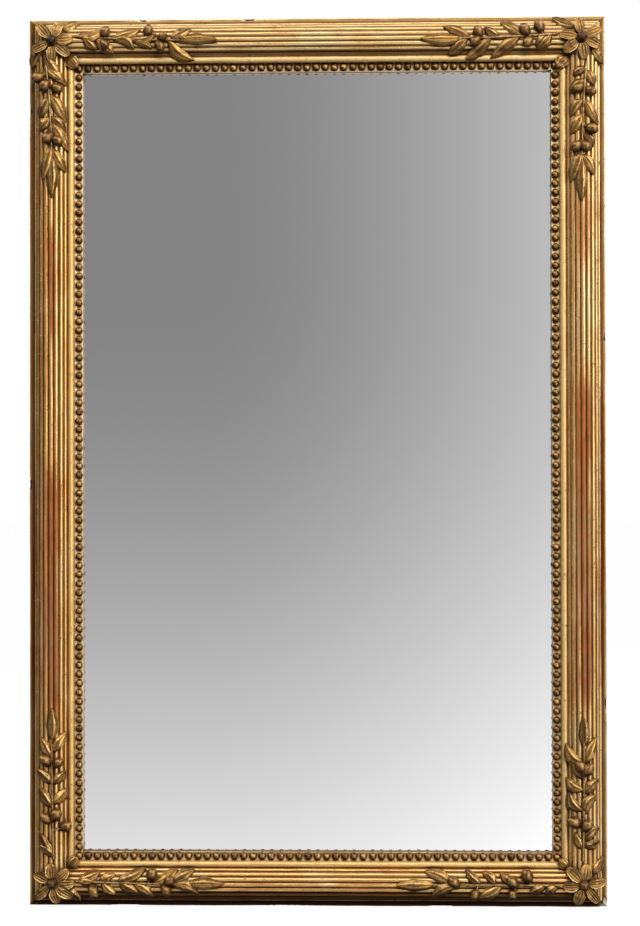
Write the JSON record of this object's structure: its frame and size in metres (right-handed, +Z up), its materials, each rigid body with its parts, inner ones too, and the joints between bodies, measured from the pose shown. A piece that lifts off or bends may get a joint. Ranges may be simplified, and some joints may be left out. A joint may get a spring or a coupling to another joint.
{
  "type": "pier mirror",
  "caption": "Tall rectangular wall mirror in a worn gilt frame: reeded convex moulding, beaded sight edge, corner rosettes with laurel sprays, panelled back and let-in hanging rings",
  "frame": {"origin": "centre of the flat back of the mirror, on the wall plane, half way up and half way across", "axes": "+Z up, +X to the right as seen from the front, the mirror faces -Y and its back lies on the wall at y = 0"},
  "size_m": [1, 0.0872, 1.54],
  "materials": {
    "gilded_moulding": "gold leaf over red bole and gesso on pine: burnished on the reeds and the round, rubbed to the bole on the crests, dark in the grooves",
    "gilded_beads": "moulded composition beads in dull bronze gold on a bright gilt strip",
    "gilded_ornament": "moulded composition leaves and petals in matt gold with brown toning in the hollows",
    "dark_bronze": "dark bronzed ball, slightly glossy",
    "mirror_glass": "silvered plate glass, clear and evenly reflecting",
    "hardwood": "old beech, dry and unpolished",
    "softwood_blocks": "sawn pine, brown with age",
    "back_pine": "planed pine, oxidised brown, unpolished",
    "steel_screws": "dull steel with slotted heads",
    "dark_iron": "forged iron, dark brown-black, a little rust"
  },
  "bodies": {
    "frame": {"moulding_bottom": "gilded_moulding", "moulding_right": "gilded_moulding", "moulding_top": "gilded_moulding", "moulding_left": "gilded_moulding", "corner_key_bottom_left": "hardwood", "corner_key_bottom_right": "hardwood", "corner_key_top_right": "hardwood", "corner_key_top_left": "hardwood", "bead_strip_bottom": "gilded_beads", "bead_strip_right": "gilded_beads", "bead_strip_top": "gilded_beads", "bead_strip_left": "gilded_beads", "rosette_bottom_left": "gilded_ornament", "rosette_bottom_right": "gilded_ornament", "rosette_top_right": "gilded_ornament", "rosette_top_left": "gilded_ornament", "rosette_ball_bottom_left": "dark_bronze", "rosette_ball_bottom_right": "dark_bronze", "rosette_ball_top_right": "dark_bronze", "rosette_ball_top_left": "dark_bronze", "mitre_leaf_bottom_left": "gilded_ornament", "mitre_leaf_bottom_right": "gilded_ornament", "mitre_leaf_top_right": "gilded_ornament", "mitre_leaf_top_left": "gilded_ornament", "spray_bottom_left_across": "gilded_ornament", "spray_bottom_left_up": "gilded_ornament", "spray_bottom_right_across": "gilded_ornament", "spray_bottom_right_up": "gilded_ornament", "spray_top_right_across": "gilded_ornament", "spray_top_right_down": "gilded_ornament", "spray_top_left_across": "gilded_ornament", "spray_top_left_down": "gilded_ornament", "mirror_plate": "mirror_glass", "setting_pads": "softwood_blocks", "glass_blocks": "softwood_blocks", "back_stile_left": "back_pine", "back_stile_right": "back_pine", "back_rail_top": "back_pine", "back_rail_middle": "back_pine", "back_rail_bottom": "back_pine", "back_panel_upper": "back_pine", "back_panel_lower": "back_pine", "back_screws": "steel_screws", "hanger_screws": "steel_screws", "hanger_plate_left": "dark_iron", "hanger_plate_right": "dark_iron"},
    "ring_left": {"hanger_ring_left": "dark_iron"},
    "ring_right": {"hanger_ring_right": "dark_iron"}
  },
  "joints": [
    {"name": "ring_left_swing", "type": "hinge", "parent": "frame", "child": "ring_left", "pos_m": [-0.467, -0.0065, 0.33], "axis": [1, 0, 0], "range_deg": [0, 185]},
    {"name": "ring_right_swing", "type": "hinge", "parent": "frame", "child": "ring_right", "pos_m": [0.467, -0.0065, 0.33], "axis": [1, 0, 0], "range_deg": [0, 185]}
  ]
}
